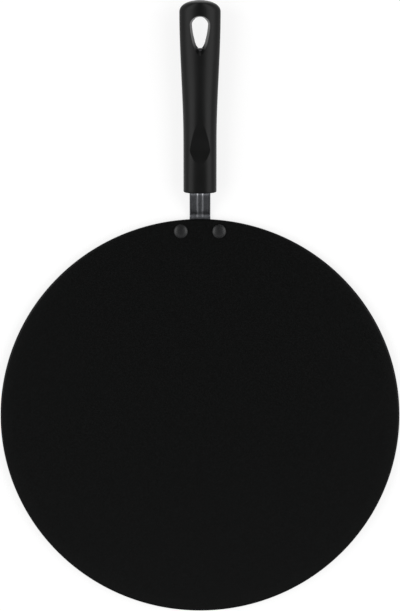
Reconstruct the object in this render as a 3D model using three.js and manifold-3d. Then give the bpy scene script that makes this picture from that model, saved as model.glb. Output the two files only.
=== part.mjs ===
// Flat frying pan: a round griddle plate, a riveted steel bracket and a moulded handle on one long screw.
// Millimetres, +Z up. The origin is the centre of the plate's underside, and the handle points along +Y.
import * as THREE from "three";
import { mergeVertices } from "three/addons/utils/BufferGeometryUtils.js";
import Module from "manifold-3d";

const wasm = await Module();
wasm.setup();

// Griddle plate
const plateDiameter = 300;
const plateThickness = 4;
const rimRound = 1.6;

// Rivets
const rivetSpacing = 28.4;
const rivetRimDistance = 9;
const rivetHeadDiameter = 10.4;
const rivetHeadHeight = 2.2;
const rivetHeadEdge = 0.5;
const rivetShankDiameter = 5;
const rivetTailDiameter = 8.2;
const rivetTailHeight = 1.6;
const rivetTailBevel = 0.7;
const rivetHoleClearance = 0.2;

// Bracket, pressed from one sheet: a foot under the plate, a rising channel and a closed stem
const sheetThickness = 1.5;
const footSideMargin = 7.6;
const footInnerMargin = 7.4;
const footOuterMargin = 6.2;
const footCornerRadius = 5;
const neckFillet = 3.2;
const rimGap = 0.6;
const stemWidth = 15.4;
const stemHeight = 11.4;
const stemInsertion = 24;
const straightRun = 0.5;
const foldRadius = 1.8;
const rampFlange = 3;
const rampFoldAngle = 4.5;
const seamGap = 3;
const foldRun = 9;
const grooveWidth = 5.2;
const grooveWall = 1.2;
const grooveDepth = 0.6;
const grooveStart = 0.1;
const grooveFull = 0.5;
const grooveInsertion = 8;
const grooveRunout = 3;
const tabClearance = 0.3;
const tabHoleClearance = 0.4;

// Where the handle stands
const handleStandoff = 20.6;
const handleHeight = 6.8;
const handleAngle = 4;

// Handle grip
const gripLength = 139.6;
const gripFrontWidth = 23.8;
const gripButtWidth = 29.4;
const gripFrontThickness = 18.4;
const gripButtThickness = 17;
const gripFlareStart = 38;
const gripButtRound = 8.5;
const gripFrontRound = 1.4;
const gripSquareness = 2.2;
const socketClearance = 0.3;

// Thumb rest: two flats that meet in a crease
const thumbCrease = 31.7;
const thumbRestDepth = 1.6;
const thumbRestFront = 9.5;
const thumbRestBack = 21.5;

// Hanging hole: a teardrop that opens out to both faces, most of all above the screw's head
const holeHalfWidth = 6.3;
const holeButtLength = 6;
const holeFrontLength = 16.8;
const holeTaper = 1.4;
const holeButtWall = 11;
const holeDraft = 8;
const holeHeadDraft = 31;
const holeLand = 1;

// Screw, its washer and its nut
const screwDiameter = 4;
const screwHeadDiameter = 7;
const screwHeadHeight = 2.8;
const screwHeadDome = 1;
const screwHeadFullness = 4;
const screwSlotWidth = 1;
const screwSlotDepth = 1.2;
const screwTipBevel = 0.7;
const screwTipReach = 3;
const screwSeatWall = 4.5;
const screwClearance = 0.4;
const driverClearance = 0.4;
const washerThickness = 1;
const washerDiameter = 7;
const washerSplit = 1;
const nutWidth = 7;
const nutThickness = 3.2;
const nutBevel = 0.8;
const seatGap = 0.25;

// Fineness of the round faces
const plateSegments = 120;
const rivetSegments = 24;
const screwSegments = 24;
const gripSegments = 48;
const gripFlareSteps = 14;
const gripButtSteps = 9;
const gripLastStep = 0.004;
const holeSegments = 48;
const rampSteps = 12;
const arcSteps = 4;
const weld = 1e-4;

const plateRadius = plateDiameter / 2;
const rivetRow = plateRadius - rivetRimDistance;
const tilt = THREE.MathUtils.degToRad(handleAngle);

// Solids from geometry, and back again

function solidOf(geometry) {
  const bare = geometry.clone();
  bare.deleteAttribute("normal");
  bare.deleteAttribute("uv");
  const merged = mergeVertices(bare, weld);
  const vertProperties = new Float32Array(merged.attributes.position.array);
  const triVerts = new Uint32Array(merged.index.array);
  return new wasm.Manifold(new wasm.Mesh({ numProp: 3, vertProperties, triVerts }));
}

function geometryOf(solid) {
  const mesh = solid.getMesh();
  const geometry = new THREE.BufferGeometry();
  geometry.setAttribute("position", new THREE.BufferAttribute(mesh.vertProperties, mesh.numProp));
  geometry.setIndex(new THREE.BufferAttribute(mesh.triVerts, 1));
  geometry.computeVertexNormals();
  return geometry;
}

// A turned body about +Z from a profile of [radius, height] pairs that starts and ends on the axis
function turned(profile, segments) {
  const points = profile.map(([radius, height]) => new THREE.Vector2(radius, height));
  return new THREE.LatheGeometry(points, segments).rotateX(Math.PI / 2);
}

// The same about +Y, the handle's own axis
function turnedAlongHandle(profile, segments) {
  const points = profile.map(([radius, along]) => new THREE.Vector2(radius, along));
  return new THREE.LatheGeometry(points, segments);
}

// A plain round cutter along the handle's axis
function roundCutter(radius, from, to) {
  return turnedAlongHandle([[0, from], [radius, from], [radius, to], [0, to]], screwSegments);
}

// A prism of an outline in (x, height), from one station along the handle to another
function prismAlongHandle(shape, from, to) {
  const settings = { depth: to - from, bevelEnabled: false, curveSegments: arcSteps };
  const prism = new THREE.ExtrudeGeometry(shape, settings);
  return prism.rotateX(Math.PI / 2).translate(0, to, 0);
}

function roundedRectangle(width, height, radius) {
  const x = width / 2 - radius;
  const y = height / 2 - radius;
  const shape = new THREE.Shape();
  shape.absarc(x, y, radius, 0, Math.PI / 2);
  shape.absarc(-x, y, radius, Math.PI / 2, Math.PI);
  shape.absarc(-x, -y, radius, Math.PI, 1.5 * Math.PI);
  shape.absarc(x, -y, radius, 1.5 * Math.PI, 2 * Math.PI);
  return shape;
}

// A closed body through sections, each { station, outline } with equally many [x, height] points
function loft(sections) {
  const count = sections[0].outline.length;
  const positions = sections.flatMap(({ station, outline }) => outline.flatMap(([x, z]) => [x, station, z]));
  const faces = [];
  for (let ring = 0; ring + 1 < sections.length; ring++) {
    for (let i = 0; i < count; i++) {
      const a = ring * count + i;
      const b = ring * count + ((i + 1) % count);
      faces.push(a, b + count, b, a, a + count, b + count);
    }
  }
  const endFaces = ({ outline }) =>
    THREE.ShapeUtils.triangulateShape(outline.map(([x, z]) => new THREE.Vector2(x, z)), []);
  const last = (sections.length - 1) * count;
  for (const [a, b, c] of endFaces(sections[0])) faces.push(a, b, c);
  for (const [a, b, c] of endFaces(sections.at(-1))) faces.push(last + a, last + c, last + b);
  const geometry = new THREE.BufferGeometry();
  geometry.setAttribute("position", new THREE.Float32BufferAttribute(positions, 3));
  geometry.setIndex(faces);
  return geometry;
}

const steps = (count) => Array.from({ length: count + 1 }, (_, i) => i / count);
const mix = THREE.MathUtils.lerp;

// Griddle plate

function griddlePlate() {
  const profile = [[0, 0]];
  for (const side of [0, 1]) {
    for (const t of steps(arcSteps)) {
      const angle = ((side + t - 1) * Math.PI) / 2;
      const centre = side === 0 ? rimRound : plateThickness - rimRound;
      profile.push([plateRadius - rimRound + rimRound * Math.cos(angle), centre + rimRound * Math.sin(angle)]);
    }
  }
  profile.push([0, plateThickness]);
  let plate = solidOf(turned(profile, plateSegments));
  for (const side of [-1, 1]) plate = plate.subtract(rivetHole(side, plateThickness));
  return geometryOf(plate);
}

// A through hole for a rivet, past both faces of the sheets it joins
function rivetHole(side, top) {
  const radius = rivetShankDiameter / 2 + rivetHoleClearance;
  const bottom = -sheetThickness;
  const past = sheetThickness;
  const profile = [[0, bottom - past], [radius, bottom - past], [radius, top + past], [0, top + past]];
  const cutter = turned(profile, rivetSegments);
  return solidOf(cutter.translate((side * rivetSpacing) / 2, rivetRow, 0));
}

// Rivets: a low domed head on the plate, a shank, and a tail set under the foot

function rivet() {
  const shank = rivetShankDiameter / 2;
  const head = rivetHeadDiameter / 2;
  const tail = rivetTailDiameter / 2;
  const tailTop = -sheetThickness;
  const tailBottom = tailTop - rivetTailHeight;
  const domeHeight = rivetHeadHeight - rivetHeadEdge;
  const profile = [[0, tailBottom], [tail - rivetTailBevel, tailBottom], [tail, tailBottom + rivetTailBevel]];
  profile.push([tail, tailTop], [shank, tailTop], [shank, plateThickness], [head, plateThickness]);
  for (const t of steps(arcSteps)) {
    const angle = (t * Math.PI) / 2;
    const height = plateThickness + rivetHeadEdge + domeHeight * Math.sin(angle);
    profile.push([t === 1 ? 0 : head * Math.cos(angle), height]);
  }
  return turned(profile, rivetSegments);
}

// Handle bracket

// Where the channel starts: the foot's upper face just outside the rim, in the handle's frame
const rampStart = (() => {
  const y = rimGap - handleStandoff;
  return {
    station: y * Math.cos(tilt) - handleHeight * Math.sin(tilt),
    height: -y * Math.sin(tilt) - handleHeight * Math.cos(tilt),
  };
})();

// Half of the sheet's section as its middle line, from the seam underneath up to the middle of the web.
// Each point is [x, height, outward x, outward height].
function sheetHalf({ top, bottom, fold, groove }) {
  const bend = foldRadius - sheetThickness / 2;
  const side = (stemWidth - sheetThickness) / 2;
  const turn = (fold * Math.PI) / 2;
  const lip = fold * ((stemWidth - seamGap) / 2 - foldRadius);
  const lowest = bottom + (fold * sheetThickness) / 2;
  const wallEnd = lowest + bend * Math.sin(turn) + lip * Math.cos(turn);
  const points = [];
  const lipX = side - bend + bend * Math.cos(turn) - lip * Math.sin(turn);
  points.push([lipX, lowest, Math.cos(turn), -Math.sin(turn)]);
  for (const t of steps(arcSteps)) {
    const angle = (1 - t) * turn;
    const x = side - bend + bend * Math.cos(angle);
    points.push([x, wallEnd - bend * Math.sin(angle), Math.cos(angle), -Math.sin(angle)]);
  }
  const webHeight = top - sheetThickness / 2;
  for (const t of steps(arcSteps)) {
    const angle = (t * Math.PI) / 2;
    const height = webHeight - bend + bend * Math.sin(angle);
    points.push([side - bend + bend * Math.cos(angle), height, Math.cos(angle), Math.sin(angle)]);
  }
  for (const t of steps(arcSteps)) {
    const wave = Math.PI * t;
    const slope = ((groove * Math.PI) / (2 * grooveWall)) * Math.sin(wave);
    const length = Math.hypot(slope, 1);
    const height = webHeight - (groove * (1 - Math.cos(wave))) / 2;
    points.push([grooveWidth / 2 - grooveWall * t, height, -slope / length, 1 / length]);
  }
  points.push([0, webHeight - groove, 0, 1]);
  return points;
}

// The closed outline of the sheet, outer face first; steepness thickens a web that its section cuts at a slant
function sheetSection(form) {
  const half = sheetHalf(form);
  const left = half.slice(0, -1).reverse();
  const middle = half.concat(left.map(([x, z, outX, outZ]) => [-x, z, -outX, outZ]));
  const offset = (side) => ([x, z, outX, outZ]) => {
    const reach = (side * sheetThickness) / 2;
    return [x + outX * reach, z + outZ * reach * (outZ > 0 ? form.steepness : 1)];
  };
  return middle.map(offset(1)).concat(middle.map(offset(-1)).reverse());
}

function channelSections() {
  const start = rampStart;
  const end = { station: -straightRun, height: stemHeight / 2 };
  const run = end.station - start.station;
  const rise = end.height - start.height;
  const startSlope = -Math.tan(tilt);
  const leastFold = rampFoldAngle / 90;
  const sections = steps(rampSteps).map((t) => {
    const ease = t * t * (3 - 2 * t);
    const height = start.height + rise * ease + run * startSlope * t * (1 - t) * (1 - t);
    const slope = (rise * 6 * t * (1 - t)) / run + startSlope * (1 - t) * (1 - 3 * t);
    const station = mix(start.station, end.station, t);
    const form = {
      top: height,
      bottom: mix(start.height - rampFlange, -stemHeight / 2, t),
      fold: mix(leastFold, 1, THREE.MathUtils.smoothstep(station, end.station - foldRun, end.station)),
      groove: grooveDepth * THREE.MathUtils.smoothstep(t, grooveStart, grooveFull),
      steepness: Math.hypot(slope, 1),
    };
    return { station, outline: sheetSection(form) };
  });
  const grooveStations = steps(3).map((t) => [grooveInsertion - grooveRunout * (1 - t), 1 - t]);
  for (const [station, left] of [...grooveStations, [stemInsertion, 0]]) {
    const groove = grooveDepth * left;
    const form = { top: stemHeight / 2, bottom: -stemHeight / 2, fold: 1, groove, steepness: 1 };
    sections.push({ station, outline: sheetSection(form) });
  }
  return sections;
}

// The end of the web is bent down inside the stem, and the screw passes through it
function endTab() {
  const innerWidth = stemWidth - 2 * sheetThickness - 2 * tabClearance;
  const innerHeight = stemHeight - 2 * sheetThickness - tabClearance;
  const height = innerHeight + sheetThickness / 2;
  const shape = roundedRectangle(innerWidth, height, sheetThickness / 2);
  const tab = prismAlongHandle(shape, stemInsertion - sheetThickness, stemInsertion);
  tab.translate(0, 0, stemHeight / 2 - sheetThickness / 2 - height / 2);
  const hole = roundCutter(screwDiameter / 2 + tabHoleClearance, 0, stemInsertion + sheetThickness);
  return { tab: solidOf(tab), hole: solidOf(hole) };
}

function footOutline() {
  const wing = rivetSpacing / 2 + footSideMargin;
  const inner = rivetRow - footInnerMargin;
  const outer = rivetRow + footOuterMargin;
  const neck = stemWidth / 2;
  const end = plateRadius + rimGap + sheetThickness / 2;
  const shape = new THREE.Shape();
  shape.moveTo(-neck, end);
  shape.lineTo(-neck, outer + neckFillet);
  shape.absarc(-neck - neckFillet, outer + neckFillet, neckFillet, 0, -Math.PI / 2, true);
  shape.absarc(-wing + footCornerRadius, outer - footCornerRadius, footCornerRadius, Math.PI / 2, Math.PI);
  shape.absarc(-wing + footCornerRadius, inner + footCornerRadius, footCornerRadius, Math.PI, 1.5 * Math.PI);
  shape.absarc(wing - footCornerRadius, inner + footCornerRadius, footCornerRadius, 1.5 * Math.PI, 2 * Math.PI);
  shape.absarc(wing - footCornerRadius, outer - footCornerRadius, footCornerRadius, 0, Math.PI / 2);
  shape.absarc(neck + neckFillet, outer + neckFillet, neckFillet, 1.5 * Math.PI, Math.PI, true);
  shape.lineTo(neck, end);
  return shape;
}

function handleBracket() {
  const { tab, hole } = endTab();
  const channel = solidOf(loft(channelSections())).add(tab).subtract(hole);
  const stem = geometryOf(channel).rotateX(tilt).translate(0, plateRadius + handleStandoff, handleHeight);
  const sheet = { depth: sheetThickness, bevelEnabled: false, curveSegments: arcSteps };
  const foot = new THREE.ExtrudeGeometry(footOutline(), sheet).translate(0, 0, -sheetThickness);
  let bracket = solidOf(foot).add(solidOf(stem));
  for (const side of [-1, 1]) bracket = bracket.subtract(rivetHole(side, 0));
  return geometryOf(bracket);
}

// Handle grip, in its own frame: stations run along +Y from its front end, heights along +Z

const buttStart = gripLength - gripButtRound;
const holeCentre = gripLength - holeButtWall - holeButtLength;
const screwSeat = holeCentre - holeFrontLength - screwSeatWall;

function gripSection(station, inset) {
  const flare = THREE.MathUtils.smoothstep(station, gripFlareStart, buttStart);
  const past = Math.max(0, (station - buttStart) / gripButtRound);
  const close = (1 - past ** gripSquareness) ** (1 / gripSquareness);
  const halfWidth = (mix(gripFrontWidth, gripButtWidth, flare) / 2) * close - inset;
  const halfThickness = (mix(gripFrontThickness, gripButtThickness, flare) / 2) * close - inset;
  const round = (value) => Math.sign(value) * Math.abs(value) ** (2 / gripSquareness);
  const outline = steps(gripSegments).slice(0, -1).map((t) => {
    const angle = 2 * Math.PI * t;
    return [halfWidth * round(Math.cos(angle)), halfThickness * round(Math.sin(angle))];
  });
  return { station, outline };
}

function gripBody() {
  const sections = steps(3).map((t) => {
    const angle = (t * Math.PI) / 2;
    return gripSection(gripFrontRound * (1 - Math.cos(angle)), gripFrontRound * (1 - Math.sin(angle)));
  });
  for (const t of steps(gripFlareSteps)) sections.push(gripSection(mix(gripFlareStart, buttStart, t), 0));
  for (const t of steps(gripButtSteps).slice(1, -1)) {
    sections.push(gripSection(buttStart + gripButtRound * Math.sin((t * Math.PI) / 2), 0));
  }
  const lastStation = gripLength - gripButtRound * gripLastStep;
  sections.push(gripSection(lastStation, 0));
  return solidOf(loft(sections));
}

// A level section of the hanging hole, grown to its sides and butt end and, by another amount, to its front
function holeSection(height, growth, frontGrowth) {
  const outline = steps(holeSegments).slice(0, -1).map((t) => {
    const x = Math.cos(2 * Math.PI * t);
    const along = Math.sin(2 * Math.PI * t);
    const front = (holeFrontLength + frontGrowth) * Math.abs(along) ** holeTaper;
    return [(holeHalfWidth + growth) * x, along > 0 ? front : (holeButtLength + growth) * along];
  });
  return { station: height, outline };
}

function hangingHole() {
  const depth = Math.max(gripFrontThickness, gripButtThickness) / 2;
  const reach = depth - holeLand / 2;
  const growth = reach * Math.tan(THREE.MathUtils.degToRad(holeDraft));
  const headGrowth = reach * Math.tan(THREE.MathUtils.degToRad(holeHeadDraft));
  const sections = [
    holeSection(-depth, growth, growth),
    holeSection(-holeLand / 2, 0, 0),
    holeSection(holeLand / 2, 0, 0),
    holeSection(depth, growth, headGrowth),
  ];
  return solidOf(loft(sections).rotateX(Math.PI / 2).translate(0, holeCentre, 0));
}

function thumbRest() {
  const top = gripFrontThickness / 2;
  const shape = new THREE.Shape();
  const rise = thumbRestDepth;
  shape.moveTo(thumbCrease, top - thumbRestDepth);
  shape.lineTo(thumbCrease + 2 * thumbRestBack, top + rise);
  shape.lineTo(thumbCrease - 2 * thumbRestFront, top + rise);
  const cutter = new THREE.ExtrudeGeometry(shape, { depth: gripFrontWidth, bevelEnabled: false });
  return solidOf(cutter.translate(0, 0, -gripFrontWidth / 2).rotateY(Math.PI / 2).rotateX(Math.PI / 2));
}

// The stem's socket, the screw's bore and seat, and the bore that the screw goes in by
function gripCutters() {
  const clearance = 2 * socketClearance;
  const corner = foldRadius + socketClearance;
  const socketShape = roundedRectangle(stemWidth + clearance, stemHeight + clearance, corner);
  const socketEnd = stemInsertion + socketClearance;
  const socket = prismAlongHandle(socketShape, -gripFrontRound, socketEnd);
  const bore = roundCutter(screwDiameter / 2 + screwClearance, stemInsertion, screwSeat + washerThickness);
  const driverRadius = screwHeadDiameter / 2 + driverClearance;
  const driverBore = roundCutter(driverRadius, screwSeat, gripLength + gripButtRound);
  return [socket, bore, driverBore].map(solidOf);
}

function handleGrip() {
  let grip = gripBody().subtract(hangingHole()).subtract(thumbRest());
  for (const cutter of gripCutters()) grip = grip.subtract(cutter);
  return geometryOf(grip);
}

// Screw, washer and nut, on the handle's axis

function handleScrew() {
  const headStart = screwSeat + seatGap + washerThickness + seatGap;
  const headEnd = headStart + screwHeadHeight;
  const tip = stemInsertion - sheetThickness - seatGap - nutThickness - screwTipReach;
  const shank = screwDiameter / 2;
  const head = screwHeadDiameter / 2;
  const profile = [[0, tip], [shank - screwTipBevel, tip], [shank, tip + screwTipBevel], [shank, headStart]];
  profile.push([head, headStart]);
  for (const t of steps(arcSteps)) {
    const angle = (t * Math.PI) / 2;
    const along = headEnd - screwHeadDome + screwHeadDome * Math.sin(angle);
    profile.push([t === 1 ? 0 : head * Math.cos(angle) ** (2 / screwHeadFullness), along]);
  }
  const slot = new THREE.BoxGeometry(screwHeadDiameter * 2, screwSlotDepth * 2, screwSlotWidth);
  const screw = solidOf(turnedAlongHandle(profile, screwSegments));
  return geometryOf(screw.subtract(solidOf(slot.translate(0, headEnd, 0))));
}

function springWasher() {
  const start = screwSeat + seatGap;
  const ring = new THREE.Shape();
  ring.absarc(0, 0, washerDiameter / 2, 0, 2 * Math.PI);
  const hole = new THREE.Path();
  hole.absarc(0, 0, screwDiameter / 2 + seatGap, 0, 2 * Math.PI);
  ring.holes.push(hole);
  const settings = { depth: washerThickness, bevelEnabled: false, curveSegments: screwSegments };
  const body = new THREE.ExtrudeGeometry(ring, settings).rotateX(Math.PI / 2);
  const split = new THREE.BoxGeometry(washerSplit, 4 * washerThickness, washerDiameter);
  split.translate(0, 0, washerDiameter / 2).rotateZ(Math.PI / 6);
  const washer = solidOf(body.translate(0, washerThickness / 2, 0)).subtract(solidOf(split));
  return geometryOf(washer).translate(0, start + washerThickness / 2, 0);
}

function stemNut() {
  const square = new THREE.Shape();
  const half = nutWidth / 2;
  const flat = half - nutBevel;
  square.moveTo(flat, -half);
  for (const [x, y] of [[half, -flat], [half, flat], [flat, half], [-flat, half]]) square.lineTo(x, y);
  for (const [x, y] of [[-half, flat], [-half, -flat], [-flat, -half]]) square.lineTo(x, y);
  const hole = new THREE.Path();
  hole.absarc(0, 0, screwDiameter / 2 + seatGap, 0, 2 * Math.PI);
  square.holes.push(hole);
  const end = stemInsertion - sheetThickness - seatGap;
  const settings = { depth: nutThickness, bevelEnabled: false, curveSegments: screwSegments };
  return new THREE.ExtrudeGeometry(square, settings).rotateX(Math.PI / 2).translate(0, end, 0);
}

// Finishes
const nonStick = { color: 0x131415, roughness: 0.5, metalness: 0 };
const bakelite = { color: 0x1a1a1a, roughness: 0.35, metalness: 0 };
const pressedSteel = { color: 0x8c8f92, roughness: 0.35, metalness: 1 };
const coatedRivet = { color: 0x26272a, roughness: 0.35, metalness: 0.3 };
const blackOxide = { color: 0x45464a, roughness: 0.4, metalness: 1 };

function piece(name, geometry, finish) {
  const mesh = new THREE.Mesh(geometry, new THREE.MeshStandardMaterial(finish));
  mesh.name = name;
  return mesh;
}

const pan = new THREE.Group();
pan.add(piece("griddle_plate", griddlePlate(), nonStick));
pan.add(piece("handle_bracket", handleBracket(), pressedSteel));
for (const [name, side] of [["rivet_left", -1], ["rivet_right", 1]]) {
  const mesh = piece(name, rivet(), coatedRivet);
  mesh.position.set((side * rivetSpacing) / 2, rivetRow, 0);
  pan.add(mesh);
}

const handle = new THREE.Group();
handle.position.set(0, plateRadius + handleStandoff, handleHeight);
handle.rotation.x = tilt;
handle.add(piece("handle_grip", handleGrip(), bakelite));
handle.add(piece("handle_screw", handleScrew(), blackOxide));
handle.add(piece("spring_washer", springWasher(), blackOxide));
handle.add(piece("stem_nut", stemNut(), blackOxide));
pan.add(handle);

export default pan;
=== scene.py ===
import math

import bmesh
import bpy
from mathutils import Matrix, Vector


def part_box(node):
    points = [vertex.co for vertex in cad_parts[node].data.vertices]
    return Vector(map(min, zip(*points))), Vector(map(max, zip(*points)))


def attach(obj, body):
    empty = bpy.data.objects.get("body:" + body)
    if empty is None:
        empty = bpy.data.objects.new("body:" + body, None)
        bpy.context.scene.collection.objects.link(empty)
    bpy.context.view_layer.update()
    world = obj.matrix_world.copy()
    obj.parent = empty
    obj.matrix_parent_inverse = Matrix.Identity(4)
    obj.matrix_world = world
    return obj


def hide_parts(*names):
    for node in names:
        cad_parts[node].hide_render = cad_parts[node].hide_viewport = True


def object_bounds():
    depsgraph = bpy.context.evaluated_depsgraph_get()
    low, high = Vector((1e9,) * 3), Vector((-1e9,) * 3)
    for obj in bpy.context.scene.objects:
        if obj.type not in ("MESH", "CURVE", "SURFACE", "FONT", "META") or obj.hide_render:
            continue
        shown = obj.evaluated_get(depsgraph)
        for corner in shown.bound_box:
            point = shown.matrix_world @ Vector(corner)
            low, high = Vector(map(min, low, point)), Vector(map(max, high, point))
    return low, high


# Flat frying pan: coated plate, riveted steel bracket, moulded handle. Metres, handle along +Y.

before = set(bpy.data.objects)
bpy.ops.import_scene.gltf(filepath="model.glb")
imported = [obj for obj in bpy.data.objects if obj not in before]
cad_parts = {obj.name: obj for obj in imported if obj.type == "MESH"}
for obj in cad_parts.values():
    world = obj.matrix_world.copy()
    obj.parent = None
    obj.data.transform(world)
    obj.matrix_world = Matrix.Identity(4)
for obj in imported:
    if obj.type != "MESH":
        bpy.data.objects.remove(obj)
cadLow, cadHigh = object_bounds()
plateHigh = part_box("griddle_plate")[1]
plateRadius = plateHigh.x
plateThickness = plateHigh.z
print("frame loaded:", len(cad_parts), "nodes")

nearly = {"same": 1e-7, "mirrored": 1e-6, "seam": 2e-6, "sliver": 1e-5, "weld": 2e-5}  # merge distances
handleSeat = {"standoff": 0.0206, "height": 0.0068, "tilt": math.radians(4)}  # front end of the grip
handlePlace = (
    Matrix.Translation((0, plateRadius + handleSeat["standoff"], handleSeat["height"]))
    @ Matrix.Rotation(handleSeat["tilt"], 4, "X")
)


# Small helpers

def mix(a, b, t):
    return a + (b - a) * t


def ease(value, start, end):
    t = min(max((value - start) / (end - start), 0), 1)
    return t * t * (3 - 2 * t)


def steps(count):
    return [i / count for i in range(count + 1)]


def vertsIn(geom):
    return [item for item in geom if isinstance(item, bmesh.types.BMVert)]


def edgesIn(geom):
    return [item for item in geom if isinstance(item, bmesh.types.BMEdge)]


def facesIn(geom):
    return [item for item in geom if isinstance(item, bmesh.types.BMFace)]


def toObject(bm, name, place=None):
    if place is not None:
        bmesh.ops.transform(bm, matrix=place, verts=bm.verts)
    mesh = bpy.data.meshes.new(name)
    bm.to_mesh(mesh)
    bm.free()
    made = bpy.data.objects.new(name, mesh)
    bpy.context.scene.collection.objects.link(made)
    return made


def openMesh(made):
    bm = bmesh.new()
    bm.from_mesh(made.data)
    return bm


def closeMesh(bm, made):
    bm.to_mesh(made.data)
    bm.free()


def applyModifiers(made):
    depsgraph = bpy.context.evaluated_depsgraph_get()
    mesh = bpy.data.meshes.new_from_object(made.evaluated_get(depsgraph))
    made.modifiers.clear()
    made.data = mesh


def carve(made, cutters):
    for cutter in cutters:
        cut = made.modifiers.new("cut", "BOOLEAN")
        cut.operation = "DIFFERENCE"
        cut.solver = "EXACT"
        cut.object = cutter
    applyModifiers(made)
    for cutter in cutters:
        bpy.data.objects.remove(cutter)


def mergeClose(made, distance):
    bm = openMesh(made)
    bmesh.ops.remove_doubles(bm, verts=bm.verts, dist=distance)
    bmesh.ops.dissolve_degenerate(bm, dist=distance, edges=bm.edges)
    closeMesh(bm, made)


def roundEdges(bm, edges, width, segments):
    bmesh.ops.bevel(bm, geom=edges, offset=width, segments=segments, profile=0.5, affect="EDGES",
                    material=-1, clamp_overlap=True)


def extrudeEdges(bm, edges):
    # the new verts, and the new edges between them
    grown = bmesh.ops.extrude_edge_only(bm, edges=edges)["geom"]
    verts = vertsIn(grown)
    members = set(verts)
    return verts, [edge for edge in edgesIn(grown) if all(v in members for v in edge.verts)]


def finishPiece(made, material, nodes, sharpAngle):
    made.data.materials.clear()
    made.data.materials.append(material)
    made.data.shade_smooth()
    made.data.set_sharp_from_angle(angle=math.radians(sharpAngle))
    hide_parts(*nodes)
    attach(made, "root")
    print("made", made.name, len(made.data.polygons), "faces")


def spunBody(profile, segments):
    bm = bmesh.new()
    chain = [bm.verts.new((radius, 0, height)) for radius, height in profile]
    line = [bm.edges.new(pair) for pair in zip(chain, chain[1:])]
    bmesh.ops.spin(bm, geom=chain + line, axis=(0, 0, 1), cent=(0, 0, 0), angle=2 * math.pi,
                   steps=segments, use_merge=True, dvec=(0, 0, 0))
    bmesh.ops.remove_doubles(bm, verts=bm.verts, dist=nearly["same"])
    bmesh.ops.recalc_face_normals(bm, faces=bm.faces)
    return bm


def layAlongY(bm):
    bmesh.ops.rotate(bm, cent=(0, 0, 0), matrix=Matrix.Rotation(-math.pi / 2, 3, "X"), verts=bm.verts)
    return bm


def roundBar(radius, start, end, place, segments=40):
    bm = bmesh.new()
    along = Matrix.Translation((0, (start + end) / 2, 0)) @ Matrix.Rotation(math.pi / 2, 4, "X")
    bmesh.ops.create_cone(bm, cap_ends=True, segments=segments, radius1=radius, radius2=radius,
                          depth=end - start, matrix=place @ along)
    return toObject(bm, "roundBar")


def block(low, high, place):
    bm = bmesh.new()
    low, high = Vector(low), Vector(high)
    shape = Matrix.Translation((low + high) / 2) @ Matrix.Diagonal((*(high - low), 1))
    bmesh.ops.create_cube(bm, size=1, matrix=place @ shape)
    return toObject(bm, "block")


# Node helpers

def newMaterial(name):
    material = bpy.data.materials.new(name)
    material.use_nodes = True
    tree = material.node_tree
    return material, tree, tree.nodes["Principled BSDF"]


def addNode(tree, kind, **values):
    node = tree.nodes.new(kind)
    for key, value in values.items():
        setattr(node, key, value)
    return node


def newGroup(name, inputs, outputs):
    group = bpy.data.node_groups.new(name, "ShaderNodeTree")
    for label, kind, value in inputs:
        socket = group.interface.new_socket(label, in_out="INPUT", socket_type=kind)
        if value is not None:
            socket.default_value = value
    for label in outputs:
        group.interface.new_socket(label, in_out="OUTPUT", socket_type="NodeSocketFloat")
    return group, group.nodes.new("NodeGroupInput"), group.nodes.new("NodeGroupOutput")


def placeGroup(tree, group, **values):
    node = tree.nodes.new("ShaderNodeGroup")
    node.node_tree = group
    for key, value in values.items():
        node.inputs[key].default_value = value
    return node


def layOnObject(tree, *textures):
    place = addNode(tree, "ShaderNodeTexCoord").outputs["Object"]
    for node in textures:
        tree.links.new(place, node.inputs["Vector"])
    return place


def math2(tree, operation, first, second):
    node = addNode(tree, "ShaderNodeMath", operation=operation)
    for socket, value in zip(node.inputs, (first, second)):
        if isinstance(value, (int, float)):
            socket.default_value = value
        else:
            tree.links.new(value, socket)
    return node.outputs[0]


def spread(tree, value, low, high, outLow, outHigh):
    node = addNode(tree, "ShaderNodeMapRange")
    tree.links.new(value, node.inputs["Value"])
    for label, number in zip(("From Min", "From Max", "To Min", "To Max"), (low, high, outLow, outHigh)):
        node.inputs[label].default_value = number
    return node.outputs["Result"]


def blendColour(tree, factor, first, second):
    node = addNode(tree, "ShaderNodeMix", data_type="RGBA")
    tree.links.new(factor, node.inputs["Factor"])
    for socket, colour in ((node.inputs[6], first), (node.inputs[7], second)):  # the colour pair
        if isinstance(colour, tuple):
            socket.default_value = (*colour, 1)
        else:
            tree.links.new(colour, socket)
    return node.outputs[2]


def bump(tree, height, strength, distance, shader):
    node = addNode(tree, "ShaderNodeBump")
    node.inputs["Strength"].default_value = strength
    node.inputs["Distance"].default_value = distance
    tree.links.new(height, node.inputs["Height"])
    tree.links.new(node.outputs["Normal"], shader.inputs["Normal"])


# Shared surface effects

grainForm = {"scale": 900, "detail": 3, "smoothness": 0.6, "cellShare": 0.5}
smudgeForm = {"scale": 14, "detail": 4, "distortion": 0.8, "cover": (0.42, 0.72)}
streakForm = {"across": 1400, "along": 14, "detail": 4}


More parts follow.
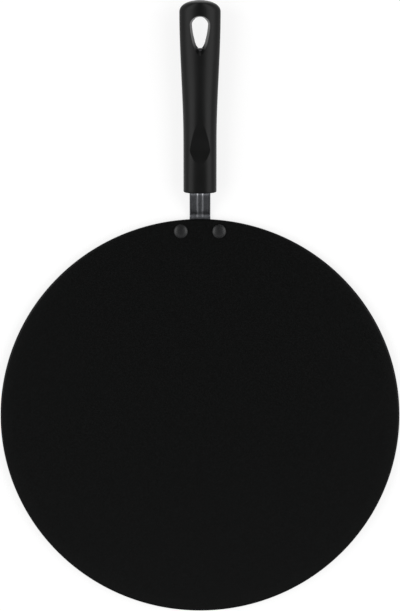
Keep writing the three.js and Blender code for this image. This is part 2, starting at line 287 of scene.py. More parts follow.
def makeGrain():
    sockets = [("Vector", "NodeSocketVector", None), ("Scale", "NodeSocketFloat", grainForm["scale"])]
    group, entry, out = newGroup("fineGrain", sockets, ["Value"])
    coarse = addNode(group, "ShaderNodeTexNoise")
    coarse.inputs["Detail"].default_value = grainForm["detail"]
    fine = addNode(group, "ShaderNodeTexVoronoi", feature="SMOOTH_F1")
    fine.inputs["Smoothness"].default_value = grainForm["smoothness"]
    for node in (coarse, fine):
        group.links.new(entry.outputs["Vector"], node.inputs["Vector"])
        group.links.new(entry.outputs["Scale"], node.inputs["Scale"])
    cells = math2(group, "MULTIPLY", fine.outputs["Distance"], grainForm["cellShare"])
    group.links.new(math2(group, "ADD", coarse.outputs[0], cells), out.inputs["Value"])
    return group


def makeSmudge():
    sockets = [("Vector", "NodeSocketVector", None), ("Scale", "NodeSocketFloat", smudgeForm["scale"])]
    group, entry, out = newGroup("handledSmudge", sockets, ["Mask"])
    cloud = addNode(group, "ShaderNodeTexNoise")
    cloud.inputs["Detail"].default_value = smudgeForm["detail"]
    cloud.inputs["Distortion"].default_value = smudgeForm["distortion"]
    group.links.new(entry.outputs["Vector"], cloud.inputs["Vector"])
    group.links.new(entry.outputs["Scale"], cloud.inputs["Scale"])
    mask = spread(group, cloud.outputs[0], *smudgeForm["cover"], 0, 1)
    group.links.new(mask, out.inputs["Mask"])
    return group


def makeStreaks():
    sockets = [
        ("Vector", "NodeSocketVector", None),
        ("Across", "NodeSocketFloat", streakForm["across"]),
        ("Along", "NodeSocketFloat", streakForm["along"]),
    ]
    group, entry, out = newGroup("drawingStreaks", sockets, ["Value"])
    stretch = addNode(group, "ShaderNodeCombineXYZ")
    for axis, label in (("X", "Across"), ("Y", "Along"), ("Z", "Across")):
        group.links.new(entry.outputs[label], stretch.inputs[axis])
    scaled = addNode(group, "ShaderNodeVectorMath", operation="MULTIPLY")
    group.links.new(entry.outputs["Vector"], scaled.inputs[0])
    group.links.new(stretch.outputs[0], scaled.inputs[1])
    lines = addNode(group, "ShaderNodeTexNoise")
    lines.inputs["Scale"].default_value = 1
    lines.inputs["Detail"].default_value = streakForm["detail"]
    group.links.new(scaled.outputs[0], lines.inputs["Vector"])
    group.links.new(lines.outputs[0], out.inputs["Value"])
    return group


grainGroup = makeGrain()
smudgeGroup = makeSmudge()
streakGroup = makeStreaks()


# Finishes

coatingLook = {
    "specular": 0.10, "dark": (0.0011, 0.0013, 0.0012), "worn": (0.0045, 0.0048, 0.0049),
    "smudgeScale": 13, "smudgeShare": 0.2, "grainScale": 1100, "speckle": (0.55, 1.05), "speckleShare": 0.7,
    "scratchTurn": math.radians(28), "scratchAcross": 420, "scratchAlong": 9, "hairline": (0.66, 0.78),
    "mottle": (0.3, 1.6), "roughness": (0.30, 0.36), "relief": (0.25, 0.00004),
}


def nonStickCoating():
    look = coatingLook
    material, tree, shader = newMaterial("nonStickCoating")
    shader.inputs["Specular IOR Level"].default_value = look["specular"]
    smudge = placeGroup(tree, smudgeGroup, Scale=look["smudgeScale"])
    grain = placeGroup(tree, grainGroup, Scale=look["grainScale"])
    place = layOnObject(tree, smudge, grain)
    turned = addNode(tree, "ShaderNodeMapping")
    turned.inputs["Rotation"].default_value = (0, 0, look["scratchTurn"])
    tree.links.new(place, turned.inputs["Vector"])
    scratches = placeGroup(tree, streakGroup, Across=look["scratchAcross"], Along=look["scratchAlong"])
    tree.links.new(turned.outputs["Vector"], scratches.inputs["Vector"])
    hairlines = spread(tree, scratches.outputs["Value"], *look["hairline"], 0, 1)
    hairlines = math2(tree, "MULTIPLY", hairlines, smudge.outputs["Mask"])
    broad = math2(tree, "MULTIPLY", smudge.outputs["Mask"], look["smudgeShare"])
    speckle = spread(tree, grain.outputs["Value"], *look["speckle"], 0, look["speckleShare"])
    marks = math2(tree, "MAXIMUM", math2(tree, "MAXIMUM", broad, hairlines), speckle)
    colour = blendColour(tree, marks, look["dark"], look["worn"])
    tree.links.new(colour, shader.inputs["Base Color"])
    mottle = math2(tree, "ADD", marks, grain.outputs["Value"])
    rough = spread(tree, mottle, *look["mottle"], *look["roughness"])
    tree.links.new(rough, shader.inputs["Roughness"])
    bump(tree, grain.outputs["Value"], *look["relief"], shader)
    return material


steelLook = {
    "dark": (0.142, 0.147, 0.159), "bright": (0.222, 0.228, 0.244), "streakTone": (0.3, 0.7),
    "streakAcross": 1500, "streakAlong": 16, "smudgeScale": 90, "mottle": (0, 2), "roughness": (0.30, 0.40),
    "relief": (0.35, 0.00005), "stemFrom": 0.1505, "stemFade": 0.001,
    "frayFrom": (0.25, 0.6), "frayTo": (0.55, 1),
}
# painted light and shade on the stem: bright lines at the groove edges, dark bands at the folded sides
stemLightAndShadeMarks = (
    {"colour": (0.44, 0.45, 0.475), "offCentre": 0.0019, "core": 0.0003, "fade": 0.00084},  # painted highlight where the groove edges catch the light
    {"colour": (0.050, 0.052, 0.057), "offCentre": 0.0070, "core": 0.0003, "fade": 0.00084},  # painted shade along the folded sides of the stem
)


def paintedStemMark(tree, place, streaks, mark):
    # mask of a band of painted highlight or painted shade, as the mark gives, that runs along both sides of
    # the stem, frayed by the drawing streaks
    axes = addNode(tree, "ShaderNodeSeparateXYZ")
    tree.links.new(place, axes.inputs[0])
    across = math2(tree, "ABSOLUTE", axes.outputs["X"], 0)
    off = math2(tree, "ABSOLUTE", math2(tree, "SUBTRACT", across, mark["offCentre"]), 0)
    band = spread(tree, off, mark["core"], mark["fade"], 1, 0)
    fray = spread(tree, streaks.outputs["Value"], *steelLook["frayFrom"], *steelLook["frayTo"])
    start = steelLook["stemFrom"]
    onStem = spread(tree, axes.outputs["Y"], start, start + steelLook["stemFade"], 0, 1)
    return math2(tree, "MULTIPLY", math2(tree, "MULTIPLY", band, fray), onStem)


def pressedSteel():
    look = steelLook
    material, tree, shader = newMaterial("pressedSteel")
    shader.inputs["Metallic"].default_value = 1
    streaks = placeGroup(tree, streakGroup, Across=look["streakAcross"], Along=look["streakAlong"])
    smudge = placeGroup(tree, smudgeGroup, Scale=look["smudgeScale"])
    place = layOnObject(tree, streaks, smudge)
    tone = spread(tree, streaks.outputs["Value"], *look["streakTone"], 0, 1)
    colour = blendColour(tree, tone, look["dark"], look["bright"])
    # lays painted highlights at the groove edges and painted shade on the folded sides over the steel's
    # colour
    for mark in stemLightAndShadeMarks:
        colour = blendColour(tree, paintedStemMark(tree, place, streaks, mark), colour, mark["colour"])
    tree.links.new(colour, shader.inputs["Base Color"])
    mottle = math2(tree, "ADD", tone, smudge.outputs["Mask"])
    rough = spread(tree, mottle, *look["mottle"], *look["roughness"])
    tree.links.new(rough, shader.inputs["Roughness"])
    bump(tree, streaks.outputs["Value"], *look["relief"], shader)
    return material


bakeliteLook = {
    "shader": {"Specular IOR Level": 0.14},
    "dark": (0.0042, 0.0044, 0.0043), "light": (0.0054, 0.0055, 0.0056),
    "smudgeScale": 45, "grainScale": 2200, "smudgeDulls": True, "mottle": (0.2, 1.8),
    "roughness": (0.28, 0.36), "relief": (0.2, 0.00003),
}
rivetLook = {
    "shader": {"Specular IOR Level": 0.31},
    "dark": (0.0080, 0.0084, 0.0088), "light": (0.0115, 0.012, 0.0125),
    "smudgeScale": 380, "grainScale": 2600, "smudgeDulls": False, "mottle": (0.3, 1),
    "roughness": (0.28, 0.36), "relief": (0.2, 0.00003),
}
oxideLook = {
    "shader": {"Metallic": 1},
    "dark": (0.085, 0.085, 0.09), "light": (0.13, 0.13, 0.137),
    "smudgeScale": 240, "grainScale": 3000, "smudgeDulls": False, "mottle": (0.3, 1),
    "roughness": (0.32, 0.46), "relief": (0.15, 0.00003),
}


def handledFinish(name, look):
    # one colour lightened by smudges, with fine grain in its roughness and relief
    material, tree, shader = newMaterial(name)
    for label, value in look["shader"].items():
        shader.inputs[label].default_value = value
    smudge = placeGroup(tree, smudgeGroup, Scale=look["smudgeScale"])
    grain = placeGroup(tree, grainGroup, Scale=look["grainScale"])
    layOnObject(tree, smudge, grain)
    colour = blendColour(tree, smudge.outputs["Mask"], look["dark"], look["light"])
    tree.links.new(colour, shader.inputs["Base Color"])
    mottle = grain.outputs["Value"]
    if look["smudgeDulls"]:
        mottle = math2(tree, "ADD", smudge.outputs["Mask"], mottle)
    rough = spread(tree, mottle, *look["mottle"], *look["roughness"])
    tree.links.new(rough, shader.inputs["Roughness"])
    bump(tree, grain.outputs["Value"], *look["relief"], shader)
    return material


coating = nonStickCoating()
bakelite = handledFinish("blackBakelite", bakeliteLook)
steel = pressedSteel()
rivetCoat = handledFinish("coatedRivet", rivetLook)
oxide = handledFinish("blackOxide", oxideLook)
print("finishes made")


# Rivets: low domed heads, shank, set tails

rivet = {
    "spacing": 0.0284, "rimDistance": 0.009, "headRadius": 0.0052, "headHeight": 0.0022, "headEdge": 0.0005,
    "underBevel": 0.0002, "shankRadius": 0.0025, "footThickness": 0.0015, "holeGap": 0.0002,
    "tailRadius": 0.0041, "tailHeight": 0.0016, "tailBevel": 0.0007, "tailFlat": 0.00298, "drillReach": 0.01,
    "segments": 64, "domeSteps": 14, "bevelSteps": 5,
}
rivetRow = plateRadius - rivet["rimDistance"]


def rivetProfile():
    tailTop = -rivet["footThickness"]
    tailBottom = tailTop - rivet["tailHeight"]
    tail, shank, head = rivet["tailRadius"], rivet["shankRadius"], rivet["headRadius"]
    profile = [(0, tailBottom), (rivet["tailFlat"], tailBottom)]
    for t in steps(rivet["bevelSteps"]):
        turn = t * math.pi / 2
        profile.append((tail - rivet["tailBevel"] * (1 - math.sin(turn)),
                        tailBottom + rivet["tailBevel"] * (1 - math.cos(turn))))
    profile += [(tail, tailTop), (shank, tailTop), (shank, plateThickness)]
    profile += [(head - rivet["underBevel"], plateThickness), (head, plateThickness + rivet["underBevel"])]
    edge = plateThickness + rivet["headEdge"]
    dome = rivet["headHeight"] - rivet["headEdge"]
    for t in steps(rivet["domeSteps"]):
        turn = t * math.pi / 2
        profile.append((head * math.cos(turn) if t < 1 else 0, edge + dome * math.sin(turn)))
    return profile


def rivetPlace(side):
    return Matrix.Translation((side * rivet["spacing"] / 2, rivetRow, 0))


def rivetDrill(side):
    reach = rivet["drillReach"]
    upright = Matrix.Rotation(math.pi / 2, 4, "X")
    return roundBar(rivet["shankRadius"] + rivet["holeGap"], -reach, reach, rivetPlace(side) @ upright)


for name, side, node in (("leftRivet", -1, "rivet_left"), ("rightRivet", 1, "rivet_right")):
    made = toObject(spunBody(rivetProfile(), rivet["segments"]), name, rivetPlace(side))
    finishPiece(made, rivetCoat, [node], sharpAngle=40)


# Griddle plate: flat disc with a rounded rim

plate = {"rimRound": 0.0016, "rimSteps": 6, "segments": 256, "rings": (0.35, 0.7, 0.93)}


def plateBody():
    rim = plate["rimRound"]
    profile = [(0, 0)]
    profile += [(plateRadius * share, 0) for share in plate["rings"]]
    for centre, start in ((rim, -math.pi / 2), (plateThickness - rim, 0)):
        for t in steps(plate["rimSteps"]):
            turn = start + t * math.pi / 2
            profile.append((plateRadius - rim + rim * math.cos(turn), centre + rim * math.sin(turn)))
    profile += [(plateRadius * share, plateThickness) for share in reversed(plate["rings"])]
    profile.append((0, plateThickness))
    return spunBody(profile, plate["segments"])


made = toObject(plateBody(), "coatedPlate")
carve(made, [rivetDrill(-1), rivetDrill(1)])
finishPiece(made, coating, ["griddle_plate"], sharpAngle=40)


# Bracket: one pressed sheet, flat foot, rising channel, closed stem with a groove along its top

bracket = {
    "sheet": 0.0015, "rimGap": 0.0006, "insertion": 0.024, "straightRun": 0.0005,
    "footSide": 0.0076, "footInner": 0.0074, "footOuter": 0.0062, "footCorner": 0.005, "neckFillet": 0.0032,
    "filletSteps": 6, "cornerSteps": 8,
    "edgeRound": 0.00025, "edgeSteps": 2, "shearedAngle": math.radians(50),
    "stemWidth": 0.0154, "stemHeight": 0.0114, "fold": 0.0016, "seam": 0.003, "foldRun": 0.009,
    "bendSteps": 6, "leastTurn": 0.001, "rampFlange": 0.003, "rampSteps": 36, "lowBend": 0.2, "highBend": 0.1,
    "topFolds": (0, 0.25), "wallGrows": (0.2, 0.6), "grooveSinks": (0.1, 0.5),  # shares of the ramp
    "grooveWidth": 0.0052, "grooveWall": 0.0012, "grooveDepth": 0.0006, "grooveSteps": 8,
    "grooveEnd": 0.008, "grooveRunout": 0.003, "runoutSteps": 6,
    "screwHole": 0.0024, "screwDrill": (0.015, 0.03), "tabGap": 0.0003,
}


def halfSection(form):
    # middle line of the sheet from the centre of the web out and down to the seam
    bend = bracket["fold"] - bracket["sheet"] / 2
    web = bracket["stemWidth"] / 2 - bracket["fold"]
    floor = bracket["grooveWidth"] / 2 - bracket["grooveWall"]
    points = [Vector((0, form["height"] - form["groove"]))]
    for t in steps(bracket["grooveSteps"] - 1):
        dip = form["groove"] * (1 + math.cos(math.pi * t)) / 2
        points.append(Vector((floor + bracket["grooveWall"] * t, form["height"] - dip)))
    spot = Vector((web, form["height"]))
    points.append(spot.copy())
    heading = 0.0
    for turn, length in ((form["topFold"], form["wall"]), (form["lowFold"], form["lip"])):
        swing = max(turn, bracket["leastTurn"]) / bracket["bendSteps"]
        for _ in range(bracket["bendSteps"]):
            heading -= swing
            middle = heading + swing / 2
            spot = spot + Vector((math.cos(middle), math.sin(middle))) * bend * swing
            points.append(spot.copy())
        spot = spot + Vector((math.cos(heading), math.sin(heading))) * length
        points.append(spot.copy())
    return points


def incline(t):
    # height and slope from 0 to 1: a straight incline between a low bend and a shorter high one
    low, high = bracket["lowBend"], bracket["highBend"]
    steep = 2 / (2 - low - high)
    if t < low:
        return steep * t * t / (2 * low), steep * t / low
    if t > 1 - high:
        return 1 - steep * (1 - t) ** 2 / (2 * high), steep * (1 - t) / high
    return steep * (t - low / 2), steep


def stemForms():
    seat = handleSeat
    sheet = bracket["sheet"]
    bend = bracket["fold"] - sheet / 2
    y = bracket["rimGap"] - seat["standoff"]
    startRun = y * math.cos(seat["tilt"]) - seat["height"] * math.sin(seat["tilt"])
    startHeight = -y * math.sin(seat["tilt"]) - seat["height"] * math.cos(seat["tilt"])
    endRun, endHeight = -bracket["straightRun"], bracket["stemHeight"] / 2
    run, rise = endRun - startRun, endHeight - startHeight
    startSlope = -math.tan(seat["tilt"])  # level with the plate
    lip = (bracket["stemWidth"] - bracket["seam"]) / 2 - bracket["fold"]
    forms = []
    for t in steps(bracket["rampSteps"]):
        climb, steepness = incline(t)
        top = startHeight + rise * climb + run * startSlope * t * (1 - t) ** 2
        slope = rise * steepness / run + startSlope * (1 - t) * (1 - 3 * t)
        station = mix(startRun, endRun, t)
        lower = mix(startHeight - bracket["rampFlange"], -bracket["stemHeight"] / 2, t)
        height = top - sheet / 2 * math.hypot(slope, 1)
        closing = ease(station, endRun - bracket["foldRun"], endRun)
        topFold = ease(t, *bracket["topFolds"]) * math.pi / 2
        flange = bracket["fold"] * math.tan((math.pi / 2 - topFold) / 2)
        drop = height - lower - bend - closing * (bend + sheet / 2)
        forms.append({
            "station": station, "height": height, "topFold": topFold, "lowFold": closing * math.pi / 2,
            "wall": flange + drop * ease(t, *bracket["wallGrows"]), "lip": closing * lip,
            "groove": bracket["grooveDepth"] * ease(t, *bracket["grooveSinks"]),
        })
    straight = dict(forms[-1], height=bracket["stemHeight"] / 2 - sheet / 2)
    for t in steps(bracket["runoutSteps"]):
        station = bracket["grooveEnd"] - bracket["grooveRunout"] * (1 - t)
        forms.append(dict(straight, station=station, groove=bracket["grooveDepth"] * (1 - ease(t, 0, 1))))
    forms.append(dict(straight, station=bracket["insertion"] - sheet / 2, groove=0))
    return forms


def bendTab(bm, edges, order, form):
    # the end of the web turned down inside the stem
    webLast = bracket["grooveSteps"] + 1
    webEdges = [edge for edge in edges if max(v[order] for v in edge.verts) <= webLast]
    foot = -bracket["stemHeight"] / 2 + bracket["sheet"] + bracket["tabGap"]
    for vert in extrudeEdges(bm, webEdges)[0]:
        vert.co = handlePlace @ Vector((vert.co.x, form["station"], foot))


def layFoot(bm, edges, order, lastOrder):
    # back from the rim under the plate: neck, fillet, then the wing stepped outwards round its corners
    level = -bracket["sheet"] / 2
    neck = max(v.co.x for edge in edges for v in edge.verts)
    outer = rivetRow + bracket["footOuter"]
    inner = rivetRow - bracket["footInner"]
    fillet, corner = bracket["neckFillet"], bracket["footCorner"]
    wing = rivet["spacing"] / 2 + bracket["footSide"]
    rows = []
    for t in steps(bracket["filletSteps"]):
        turn = t * math.pi / 2
        rows.append((neck + fillet * (1 - math.cos(turn)), outer + fillet * (1 - math.sin(turn))))
    rows.append((neck + fillet, inner))
    for x, y in rows:
        verts, edges = extrudeEdges(bm, edges)
        for vert in verts:
            vert.co.y = y
            vert.co.z = level
            if vert[order] == lastOrder:
                vert.co.x = x
    near = nearly["same"]
    side = [edge for edge in bm.edges if len(edge.link_faces) == 1
            and all(abs(v.co.x - neck - fillet) < near and v.co.y < outer + near for v in edge.verts)]
    for t in steps(bracket["cornerSteps"]):
        turn = t * math.pi / 2
        shrink = corner * (1 - math.cos(turn))
        verts, side = extrudeEdges(bm, side)
        top = max(v.co.y for v in verts)
        for vert in verts:
            vert.co.x = wing - corner + corner * math.sin(turn)
            vert.co.y = outer - shrink if vert.co.y > top - near else inner + shrink


def bracketBody():
    bm = bmesh.new()
    order = bm.verts.layers.int.new("order")
    forms = stemForms()
    chain = []
    for i, point in enumerate(halfSection(forms[0])):
        vert = bm.verts.new(handlePlace @ Vector((point.x, forms[0]["station"], point.y)))
        vert[order] = i
        chain.append(vert)
    firstEdges = [bm.edges.new(pair) for pair in zip(chain, chain[1:])]
    edges = firstEdges
    for form in forms[1:]:
        verts, edges = extrudeEdges(bm, edges)
        points = halfSection(form)
        for vert in verts:
            point = points[vert[order]]
            vert.co = handlePlace @ Vector((point.x, form["station"], point.y))
    bendTab(bm, edges, order, forms[-1])
    layFoot(bm, firstEdges, order, len(chain) - 1)
    whole = bm.verts[:] + bm.edges[:] + bm.faces[:]
    bmesh.ops.mirror(bm, geom=whole, axis="X", merge_dist=nearly["mirrored"])
    bmesh.ops.remove_doubles(bm, verts=bm.verts, dist=nearly["seam"])
    bmesh.ops.recalc_face_normals(bm, faces=bm.faces)
    return bm


def softenFoot(made):
    # breaks the sheared edges round the foot, apart from those under the rivet tails
    bm = openMesh(made)
    footEnd = rivetRow + bracket["footOuter"] + bracket["neckFillet"] / 2
    sheared = []
    for edge in bm.edges:
        middle = (edge.verts[0].co + edge.verts[1].co) / 2
        offset = Vector((abs(middle.x) - rivet["spacing"] / 2, middle.y - rivetRow))
        inFoot = max(v.co.y for v in edge.verts) < footEnd and offset.length > rivet["tailRadius"]
        if inFoot and edge.calc_face_angle(0) > bracket["shearedAngle"]:
            sheared.append(edge)
    roundEdges(bm, sheared, bracket["edgeRound"], bracket["edgeSteps"])
    closeMesh(bm, made)


made = toObject(bracketBody(), "pressedBracket")
sheetWall = made.modifiers.new("sheet", "SOLIDIFY")
sheetWall.thickness = bracket["sheet"]
sheetWall.offset = 0
sheetWall.use_even_offset = True
applyModifiers(made)
mergeClose(made, nearly["weld"])
screwDrill = roundBar(bracket["screwHole"], *bracket["screwDrill"], handlePlace)
carve(made, [rivetDrill(-1), rivetDrill(1), screwDrill])
softenFoot(made)
finishPiece(made, steel, ["handle_bracket"], sharpAngle=40)


# Handle grip: moulded body with a thumb rest and a teardrop hanging hole

grip = {
    "length": 0.1400, "frontWidth": 0.0244, "buttWidth": 0.0300,
    "frontThickness": 0.0184, "buttThickness": 0.017,
    "flareStart": 0.038, "buttRound": 0.0085, "buttEdge": 0.002, "tipLeft": 0.004, "outline": 2.2,
    "frontSquareness": 2.4, "buttSquareness": 1.85, "squareShare": 0.6, "frontRound": 0.0009,
    "frontSteps": 12, "plainSteps": 16, "flareSteps": 44, "buttSteps": 36, "segments": 128,
    "rimRound": 0.0005, "rimSteps": 3, "socketGap": 0.0003, "socketSteps": 6,
}
thumbRest = {"crease": 0.0317, "depth": 0.0016, "front": 0.0095, "back": 0.0215}
hole = {
    "halfWidth": 0.0057, "buttLength": 0.0048, "frontLength": 0.0168, "taper": 1.4, "buttWall": 0.0126,
    "draft": math.radians(13), "headDraft": math.radians(31), "land": 0.001, "segments": 128,
    "flatAngle": math.radians(0.1),
}
screw = {
    "radius": 0.002, "headRadius": 0.0035, "headHeight": 0.0028, "headDome": 0.001, "headBevel": 0.0002,
    "domePower": 0.5, "domeSteps": 10, "segments": 48,
    "slotWidth": 0.001, "slotDepth": 0.0012, "slotReach": 0.01,
    "tipBevel": 0.0007, "tipReach": 0.003, "threadLength": 0.02, "pitch": 0.0007, "crestEnd": 0.2,
    "rootAt": 0.55, "rootShare": 0.86, "seatWall": 0.0045, "seatGap": 0.00025, "boreGap": 0.0004,
    "driverGap": 0.0004, "driverReach": 0.01, "driverSegments": 64,
}
washer = {
    "radius": 0.0035, "thickness": 0.001, "corner": 0.0002, "cornerSteps": 2,
    "turn": math.radians(346), "steps": 72, "bow": 0.0001,
}
nut = {"width": 0.007, "thickness": 0.0032, "edge": 0.0004, "edgeSteps": 3, "drillReach": 0.01}
buttStart = grip["length"] - grip["buttRound"]
holeCentre = grip["length"] - hole["buttWall"] - hole["buttLength"]
screwSeat = holeCentre - hole["frontLength"] - screw["seatWall"]
nutEnd = bracket["insertion"] - bracket["sheet"] - screw["seatGap"]
faceKind = {"moulded": 0, "thumb": 1, "cut": 2}  # material index while the grip is being cut


def gripSection(station, inset):
    # half width, half thickness and squareness; the butt closes over a longer run in width
    flare = ease(station, grip["flareStart"], buttStart)
    past = max(0, (station - buttStart) / grip["buttRound"])
    closing = (1 - past ** grip["outline"]) ** (1 / grip["outline"])
    width = mix(grip["frontWidth"], grip["buttWidth"], flare) / 2 * closing
    edge = max(0, 1 - (grip["length"] - station) / grip["buttEdge"])
    thickness = mix(grip["frontThickness"], grip["buttThickness"], flare) / 2 * math.sqrt(1 - edge * edge)
    rounding = ease(station, 0, grip["squareShare"] * grip["length"])
    return width - inset, thickness - inset, mix(grip["frontSquareness"], grip["buttSquareness"], rounding)


def gripStations():
    front = grip["frontRound"]
    for t in steps(grip["frontSteps"]):
        turn = t * math.pi / 2
        yield front * (1 - math.cos(turn)), front * (1 - math.sin(turn))
    for t in steps(grip["plainSteps"])[1:]:
        yield mix(front, grip["flareStart"], t), 0
    for t in steps(grip["flareSteps"])[1:]:
        yield mix(grip["flareStart"], buttStart, t), 0
    lastTurn = math.asin(1 - grip["tipLeft"])
    for t in steps(grip["buttSteps"])[1:]:
        yield buttStart + grip["buttRound"] * math.sin(t * lastTurn), 0


def layRing(verts, turn, station, inset):
    width, thickness, squareness = gripSection(station, inset)
    for vert in verts:
        across, up = math.cos(vert[turn]), math.sin(vert[turn])
        vert.co.x = math.copysign(abs(across) ** (2 / squareness), across) * width
        vert.co.y = station
        vert.co.z = math.copysign(abs(up) ** (2 / squareness), up) * thickness


def gripBody():
    bm = bmesh.new()
    turn = bm.verts.layers.float.new("turn")
    bmesh.ops.create_circle(bm, cap_ends=True, segments=grip["segments"], radius=1)
    for vert in bm.verts:
        vert[turn] = math.atan2(vert.co.y, vert.co.x)
    stations = list(gripStations())
    layRing(bm.verts, turn, *stations[0])
    end = frontFace = bm.faces[:]
    for station, inset in stations[1:]:
        grown = bmesh.ops.extrude_face_region(bm, geom=end)["geom"]
        if end is not frontFace:
            bmesh.ops.delete(bm, geom=end, context="FACES_ONLY")
        layRing(vertsIn(grown), turn, station, inset)
        end = facesIn(grown)
    bmesh.ops.recalc_face_normals(bm, faces=bm.faces)
    return bm


def teardropCutter(side, frontDraft):
    # from the narrow land at mid depth out past one face
    bm = bmesh.new()
    reach = grip["frontThickness"] / 2
    for level, depth in ((-hole["land"] / 2, 0), (reach, reach - hole["land"] / 2)):
        growth, frontGrowth = depth * math.tan(hole["draft"]), depth * math.tan(frontDraft)
        ring = bmesh.ops.create_circle(bm, segments=hole["segments"], radius=1)["verts"]
        for vert in ring:
            x, y = vert.co.xy
            front = -(hole["frontLength"] + frontGrowth) * abs(y) ** hole["taper"]
            along = front if y < 0 else (hole["buttLength"] + growth) * y
            vert.co = ((hole["halfWidth"] + growth) * x, holeCentre + along, level * side)
    bmesh.ops.convex_hull(bm, input=bm.verts)
    bmesh.ops.dissolve_limit(bm, angle_limit=hole["flatAngle"], verts=bm.verts, edges=bm.edges)
    return toObject(bm, "teardrop", handlePlace)


def thumbCutter():
    bm = bmesh.new()
    top = grip["frontThickness"] / 2
    half = grip["frontWidth"]
    corners = (
        (thumbRest["crease"], top - thumbRest["depth"]),
        (thumbRest["crease"] + 2 * thumbRest["back"], top + thumbRest["depth"]),
        (thumbRest["crease"] - 2 * thumbRest["front"], top + thumbRest["depth"]),
    )
    face = bm.faces.new([bm.verts.new((-half, y, z)) for y, z in corners])
    grown = bmesh.ops.extrude_face_region(bm, geom=[face])["geom"]
    bmesh.ops.translate(bm, vec=(2 * half, 0, 0), verts=vertsIn(grown))
    bmesh.ops.recalc_face_normals(bm, faces=bm.faces)
    return toObject(bm, "thumbWedge", handlePlace)


def socketCutter():
    bm = bmesh.new()
    gap = grip["socketGap"]
    width, height = bracket["stemWidth"] + 2 * gap, bracket["stemHeight"] + 2 * gap
    low, high = -grip["frontRound"], bracket["insertion"] + gap
    place = Matrix.Translation((0, (low + high) / 2, 0)) @ Matrix.Diagonal((width, high - low, height, 1))
    bmesh.ops.create_cube(bm, size=1, matrix=place)
    lengthwise = [edge for edge in bm.edges if edge.verts[0].co.y * edge.verts[1].co.y < 0]
    roundEdges(bm, lengthwise, bracket["fold"] + gap, grip["socketSteps"])
    return toObject(bm, "socket", handlePlace)


def gripCutters():
    bore, driver = screw["radius"] + screw["boreGap"], screw["headRadius"] + screw["driverGap"]
    driverEnd = grip["length"] + screw["driverReach"]
    return [
        socketCutter(),
        roundBar(bore, bracket["insertion"], screwSeat + washer["thickness"], handlePlace),
        roundBar(driver, screwSeat, driverEnd, handlePlace, screw["driverSegments"]),
        teardropCutter(1, hole["headDraft"]),
        teardropCutter(-1, hole["draft"]),
    ]


def softenCuts(made):
    # rounds the edges between moulded and cut faces, and leaves the thumb rest's crisp
    bm = openMesh(made)
    bmesh.ops.dissolve_degenerate(bm, dist=nearly["sliver"], edges=bm.edges)
    kinds = {faceKind["moulded"], faceKind["cut"]}
    sharp = [edge for edge in bm.edges if len(edge.link_faces) == 2
             and {face.material_index for face in edge.link_faces} == kinds]
    roundEdges(bm, sharp, grip["rimRound"], grip["rimSteps"])
    closeMesh(bm, made)


def markCutter(cutter, kind):
    for _ in range(kind + 1):
        cutter.data.materials.append(bakelite)
    for face in cutter.data.polygons:
        face.material_index = kind
    return cutter


made = toObject(gripBody(), "mouldedGrip", handlePlace)
for _ in faceKind:
    made.data.materials.append(bakelite)
thumbWedge = markCutter(thumbCutter(), faceKind["thumb"])
carve(made, [thumbWedge] + [markCutter(cutter, faceKind["cut"]) for cutter in gripCutters()])
softenCuts(made)
for face in made.data.polygons:
    face.material_index = faceKind["moulded"]
finishPiece(made, bakelite, ["handle_grip"], sharpAngle=10)


# Long screw, split washer and square nut, on the handle's axis

def screwBody(headEnd):
    radius, head, pitch = screw["radius"], screw["headRadius"], screw["pitch"]
    headStart = headEnd - screw["headHeight"]
    tip = nutEnd - nut["thickness"] - screw["tipReach"]
    crest = tip + screw["tipBevel"]
    profile = [(0, tip), (radius - screw["tipBevel"], tip), (radius, crest)]
    while crest < tip + screw["threadLength"]:  # thread shown as close grooves near the tip
        profile.append((radius, crest + pitch * screw["crestEnd"]))
        profile.append((radius * screw["rootShare"], crest + pitch * screw["rootAt"]))
        crest += pitch
        profile.append((radius, crest))
    bevel = screw["headBevel"]
    profile += [(radius, headStart), (head - bevel, headStart), (head, headStart + bevel)]
    for t in steps(screw["domeSteps"]):
        turn = t * math.pi / 2
        profile.append((head * math.cos(turn) ** screw["domePower"] if t < 1 else 0,
                        headEnd - screw["headDome"] * (1 - math.sin(turn))))
    return layAlongY(spunBody(profile, screw["segments"]))


headEnd = screwSeat + 2 * screw["seatGap"] + washer["thickness"] + screw["headHeight"]
made = toObject(screwBody(headEnd), "longScrew", handlePlace)
slotMiddle = Vector((0, headEnd, 0))
slotHalf = Vector((screw["slotReach"], screw["slotDepth"], screw["slotWidth"] / 2))
carve(made, [block(slotMiddle - slotHalf, slotMiddle + slotHalf, handlePlace)])
finishPiece(made, oxide, ["handle_screw"], sharpAngle=35)


def washerBody():
    # a tightened split ring still stands a little apart at its ends
    bm = bmesh.new()
    inner, outer = screw["radius"] + screw["seatGap"], washer["radius"]
    low = screwSeat + screw["seatGap"]
    high = low + washer["thickness"]
    corners = ((inner, low), (outer, low), (outer, high), (inner, high))
    bm.faces.new([bm.verts.new((x, 0, z)) for x, z in corners])
    bmesh.ops.bevel(bm, geom=bm.verts[:], offset=washer["corner"], segments=washer["cornerSteps"],
                    profile=0.5, affect="VERTICES", material=-1)
    section = bm.faces[:] + bm.edges[:] + bm.verts[:]
    bmesh.ops.spin(bm, geom=section, axis=(0, 0, 1), cent=(0, 0, 0), angle=washer["turn"],
                   steps=washer["steps"], dvec=(0, 0, washer["bow"] / washer["steps"]), use_merge=False)
    bmesh.ops.remove_doubles(bm, verts=bm.verts, dist=nearly["same"])
    bmesh.ops.recalc_face_normals(bm, faces=bm.faces)
    return layAlongY(bm)


made = toObject(washerBody(), "splitWasher", handlePlace)
finishPiece(made, oxide, ["spring_washer"], sharpAngle=35)

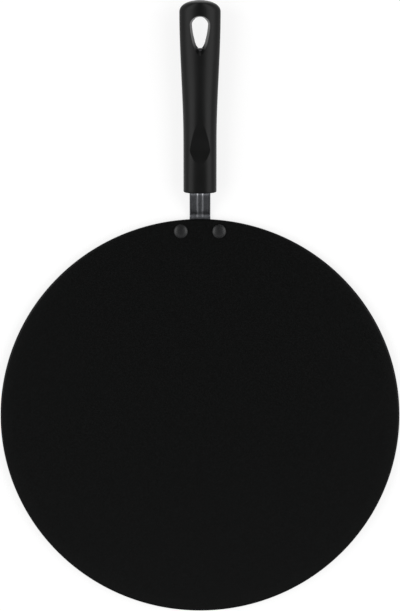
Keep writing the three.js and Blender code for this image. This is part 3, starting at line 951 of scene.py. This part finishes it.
nutHalf = nut["width"] / 2
made = block((-nutHalf, nutEnd - nut["thickness"], -nutHalf), (nutHalf, nutEnd, nutHalf), handlePlace)
made.name = "squareNut"
nutBore = screw["radius"] + screw["seatGap"]
carve(made, [roundBar(nutBore, nutEnd - nut["drillReach"], nutEnd + nut["drillReach"], handlePlace)])
nutEdge = made.modifiers.new("edges", "BEVEL")
nutEdge.width = nut["edge"]
nutEdge.segments = nut["edgeSteps"]
nutEdge.limit_method = "ANGLE"
finishPiece(made, oxide, ["stem_nut"], sharpAngle=35)


# Studio: pale floor, large soft boxes left and right, a smaller one in front, dark overhead

studio = {
    "floorColour": (0.27, 0.27, 0.27), "floorRoughness": 0.9, "floorLift": 0.75,
    "floorSize": 40, "floorCells": 8,
    "sides": 1.06, "middle": 0.15, "paleFrom": 0.05, "paleTo": 0.8,
    "side": {"size": (1.3, 0.9), "place": (1.04, 0.25, 1.08), "power": 8},
    "front": {"size": (1.2, 0.6), "place": (0, -0.75, 1.3), "power": 1.3},
}


def softBox(name, form, mirror=1):
    lamp = bpy.data.lights.new(name, "AREA")
    lamp.shape = "RECTANGLE"
    lamp.size, lamp.size_y = form["size"]
    lamp.energy = form["power"]
    held = bpy.data.objects.new(name, lamp)
    bpy.context.scene.collection.objects.link(held)
    spot = Vector(form["place"])
    spot.x *= mirror
    aim = Vector((0, spot.y if spot.x else 0, 0)) - spot  # side boxes look straight across
    back = -aim.normalized()
    flat = Vector((0, 0, 1)).cross(back).normalized()  # long side level
    up = back.cross(flat)
    held.matrix_world = Matrix.Translation(spot) @ Matrix((flat, up, back)).transposed().to_4x4()


def paleFloor():
    bm = bmesh.new()
    cells = studio["floorCells"]
    bmesh.ops.create_grid(bm, x_segments=cells, y_segments=cells, size=studio["floorSize"] / 2)
    made = toObject(bm, "paleFloor", Matrix.Translation((0, 0, cadLow.z)))
    material, tree, shader = newMaterial("paleFloor")
    shader.inputs["Base Color"].default_value = (*studio["floorColour"], 1)
    shader.inputs["Roughness"].default_value = studio["floorRoughness"]
    shader.inputs["Specular IOR Level"].default_value = 0
    seen = addNode(tree, "ShaderNodeLightPath")
    direct = math2(tree, "MAXIMUM", seen.outputs["Is Camera Ray"], seen.outputs["Is Glossy Ray"])
    direct = math2(tree, "MAXIMUM", direct, seen.outputs["Is Transmission Ray"])
    shader.inputs["Emission Color"].default_value = (1, 1, 1, 1)
    tree.links.new(math2(tree, "MULTIPLY", direct, studio["floorLift"]), shader.inputs["Emission Strength"])
    made.data.materials.append(material)


def dimRoom():
    # pale to the left and right, dark in front, behind and overhead
    world = bpy.data.worlds.new("dimRoom")
    world.use_nodes = True
    tree = world.node_tree
    sky = tree.nodes["Background"]
    sky.inputs["Color"].default_value = (1, 1, 1, 1)
    split = addNode(tree, "ShaderNodeSeparateXYZ")
    tree.links.new(addNode(tree, "ShaderNodeTexCoord").outputs["Generated"], split.inputs[0])
    sideways = math2(tree, "ABSOLUTE", split.outputs["X"], 0)
    level = spread(tree, sideways, studio["paleFrom"], studio["paleTo"], studio["middle"], studio["sides"])
    tree.links.new(level, sky.inputs["Strength"])
    bpy.context.scene.world = world


softBox("softBoxRight", studio["side"])
softBox("softBoxLeft", studio["side"], -1)
softBox("softBoxFront", studio["front"])
paleFloor()
dimRoom()


# Camera: nearly overhead, a little towards the handle

view = {
    "distance": 1.5, "lean": math.radians(8.453), "aimY": 0.084861,
    "focalPixels": 2008.3, "pictureHeight": 611, "sensor": 36,
}
lens = bpy.data.cameras.new("overheadCamera")
lens.sensor_fit = "VERTICAL"
lens.sensor_height = view["sensor"]
lens.lens = view["focalPixels"] / view["pictureHeight"] * view["sensor"]
eye = bpy.data.objects.new("overheadCamera", lens)
bpy.context.scene.collection.objects.link(eye)
reach = Vector((0, math.sin(view["lean"]), math.cos(view["lean"]))) * view["distance"]
eye.location = Vector((0, view["aimY"], 0)) + reach
eye.rotation_euler = (-view["lean"], 0, 0)
bpy.context.scene.camera = eye
bpy.context.scene.view_settings.view_transform = "Standard"
print("studio and camera set")
